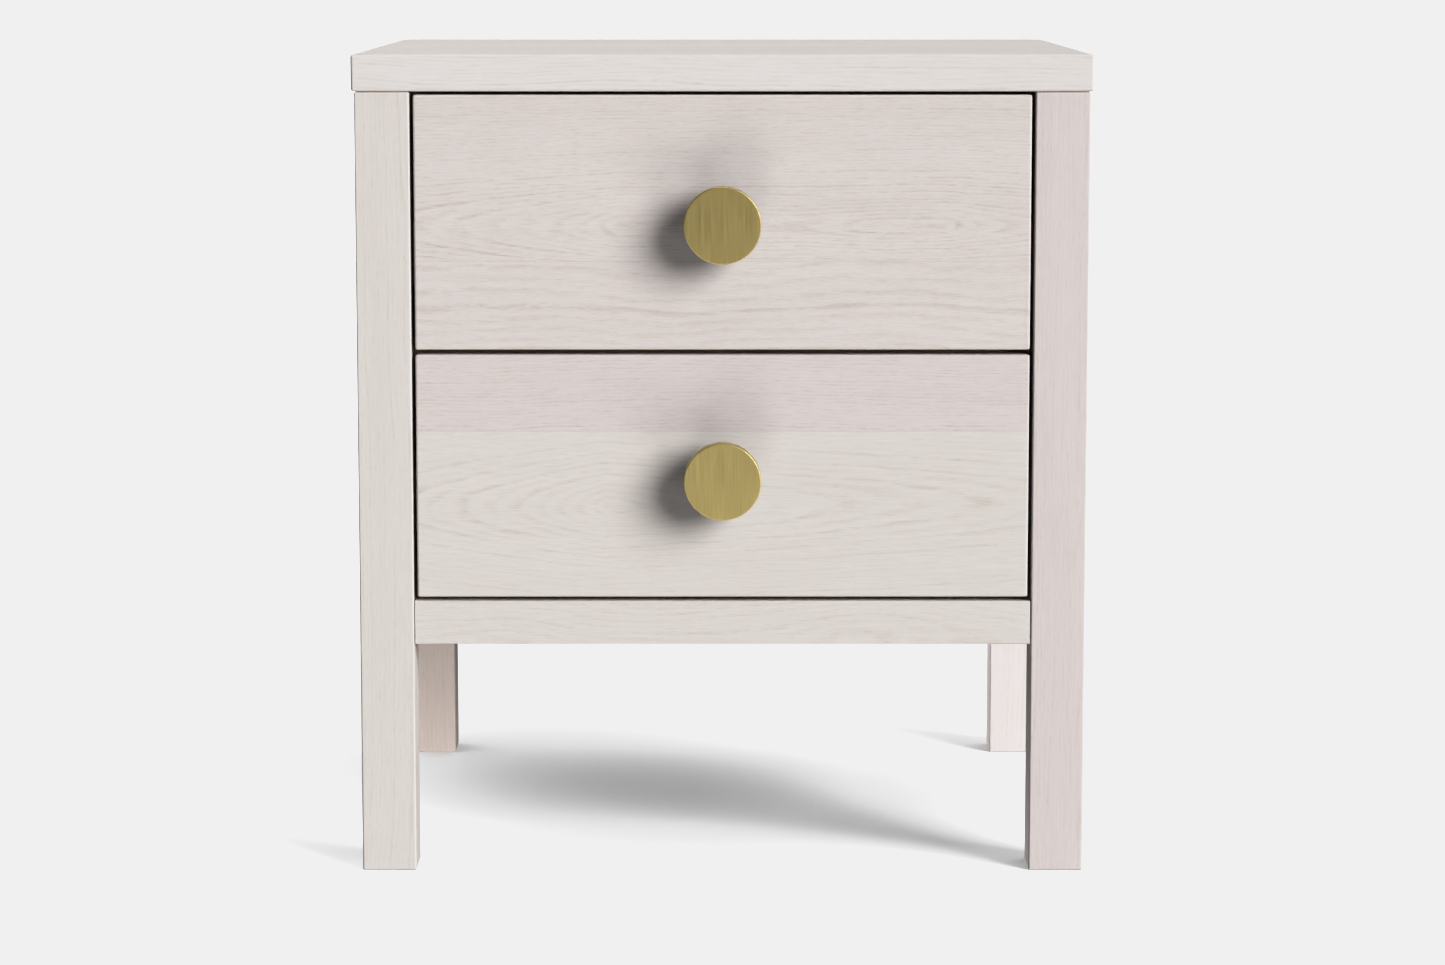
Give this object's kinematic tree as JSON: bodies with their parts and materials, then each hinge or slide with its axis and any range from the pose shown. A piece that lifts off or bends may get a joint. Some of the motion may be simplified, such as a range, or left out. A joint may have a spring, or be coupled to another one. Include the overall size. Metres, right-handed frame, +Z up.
{
  "type": "nightstand",
  "caption": "Square-legged bedside cabinet in limed ash, with inset drawers on ball-bearing slides and round brushed brass disc knobs.",
  "frame": {"origin": "on the floor, in the middle of the object's bounding box, knobs included", "axes": "+Z up; the drawer fronts face -Y and open towards it; +X is to the right when facing the drawers"},
  "size_m": [0.5, 0.478, 0.56],
  "materials": {
    "limed_ash_top": "limed, matt lacquer, grain along the width",
    "limed_ash_legs": "limed, matt lacquer, grain upright",
    "limed_ash_fronts": "limed, matt lacquer, grain along the width",
    "limed_ash_rail": "limed, matt lacquer, grain along the width",
    "limed_ash_sides": "limed, matt lacquer, grain upright",
    "hidden_ash": "sanded, one thin limed coat",
    "case_ply": "birch-faced ply, clear matt",
    "drawer_ply": "birch-faced ply, clear matt, laminated edges",
    "brushed_brass": "brushed, satin",
    "zinc_steel": "bright zinc plate",
    "screw_steel": "zinc plate"
  },
  "bodies": {
    "case": {"back_bottom_rail": "hidden_ash", "back_panel": "case_ply", "back_top_rail": "hidden_ash", "bottom_panel": "case_ply", "front_bottom_rail": "limed_ash_rail", "front_middle_rail": "hidden_ash", "front_top_rail": "hidden_ash", "leg_back_left": "limed_ash_legs", "leg_back_right": "limed_ash_legs", "leg_front_left": "limed_ash_legs", "leg_front_right": "limed_ash_legs", "lower_cleat_left": "hidden_ash", "lower_cleat_right": "hidden_ash", "lower_slide_cabinet_left": "zinc_steel", "lower_slide_cabinet_right": "zinc_steel", "side_panel_left": "limed_ash_sides", "side_panel_right": "limed_ash_sides", "top_panel": "limed_ash_top", "top_screw_back_left": "screw_steel", "top_screw_back_right": "screw_steel", "top_screw_front_left": "screw_steel", "top_screw_front_right": "screw_steel", "upper_cleat_left": "hidden_ash", "upper_cleat_right": "hidden_ash", "upper_slide_cabinet_left": "zinc_steel", "upper_slide_cabinet_right": "zinc_steel"},
    "upper_drawer": {"upper_drawer_back": "drawer_ply", "upper_drawer_base": "drawer_ply", "upper_drawer_front": "limed_ash_fronts", "upper_drawer_inner_front": "drawer_ply", "upper_drawer_side_left": "drawer_ply", "upper_drawer_side_right": "drawer_ply", "upper_front_screw_left": "screw_steel", "upper_front_screw_right": "screw_steel", "upper_knob_disc": "brushed_brass", "upper_knob_post": "brushed_brass", "upper_knob_screw": "screw_steel", "upper_slide_drawer_left": "zinc_steel", "upper_slide_drawer_right": "zinc_steel"},
    "upper_slide_middle_left": {"upper_slide_middle_left": "zinc_steel"},
    "upper_slide_middle_right": {"upper_slide_middle_right": "zinc_steel"},
    "lower_drawer": {"lower_drawer_back": "drawer_ply", "lower_drawer_base": "drawer_ply", "lower_drawer_front": "limed_ash_fronts", "lower_drawer_inner_front": "drawer_ply", "lower_drawer_side_left": "drawer_ply", "lower_drawer_side_right": "drawer_ply", "lower_front_screw_left": "screw_steel", "lower_front_screw_right": "screw_steel", "lower_knob_disc": "brushed_brass", "lower_knob_post": "brushed_brass", "lower_knob_screw": "screw_steel", "lower_slide_drawer_left": "zinc_steel", "lower_slide_drawer_right": "zinc_steel"},
    "lower_slide_middle_left": {"lower_slide_middle_left": "zinc_steel"},
    "lower_slide_middle_right": {"lower_slide_middle_right": "zinc_steel"}
  },
  "joints": [
    {"name": "upper_drawer_slide", "type": "slide", "parent": "case", "child": "upper_drawer", "axis": [0, -1, 0], "range_m": [0, 0.35]},
    {"name": "lower_drawer_slide", "type": "slide", "parent": "case", "child": "lower_drawer", "axis": [0, -1, 0], "range_m": [0, 0.35]},
    {"name": "upper_slide_middle_left_travel", "type": "slide", "parent": "case", "child": "upper_slide_middle_left", "axis": [0, -1, 0], "range_m": [0, 0.175]},
    {"name": "upper_slide_middle_right_travel", "type": "slide", "parent": "case", "child": "upper_slide_middle_right", "axis": [0, -1, 0], "range_m": [0, 0.175]},
    {"name": "lower_slide_middle_left_travel", "type": "slide", "parent": "case", "child": "lower_slide_middle_left", "axis": [0, -1, 0], "range_m": [0, 0.175]},
    {"name": "lower_slide_middle_right_travel", "type": "slide", "parent": "case", "child": "lower_slide_middle_right", "axis": [0, -1, 0], "range_m": [0, 0.175]}
  ],
  "couplings": [
    {"joint": "upper_slide_middle_left_travel", "follows": "upper_drawer_slide", "ratio": 0.5},
    {"joint": "upper_slide_middle_right_travel", "follows": "upper_drawer_slide", "ratio": 0.5},
    {"joint": "lower_slide_middle_left_travel", "follows": "lower_drawer_slide", "ratio": 0.5},
    {"joint": "lower_slide_middle_right_travel", "follows": "lower_drawer_slide", "ratio": 0.5}
  ]
}
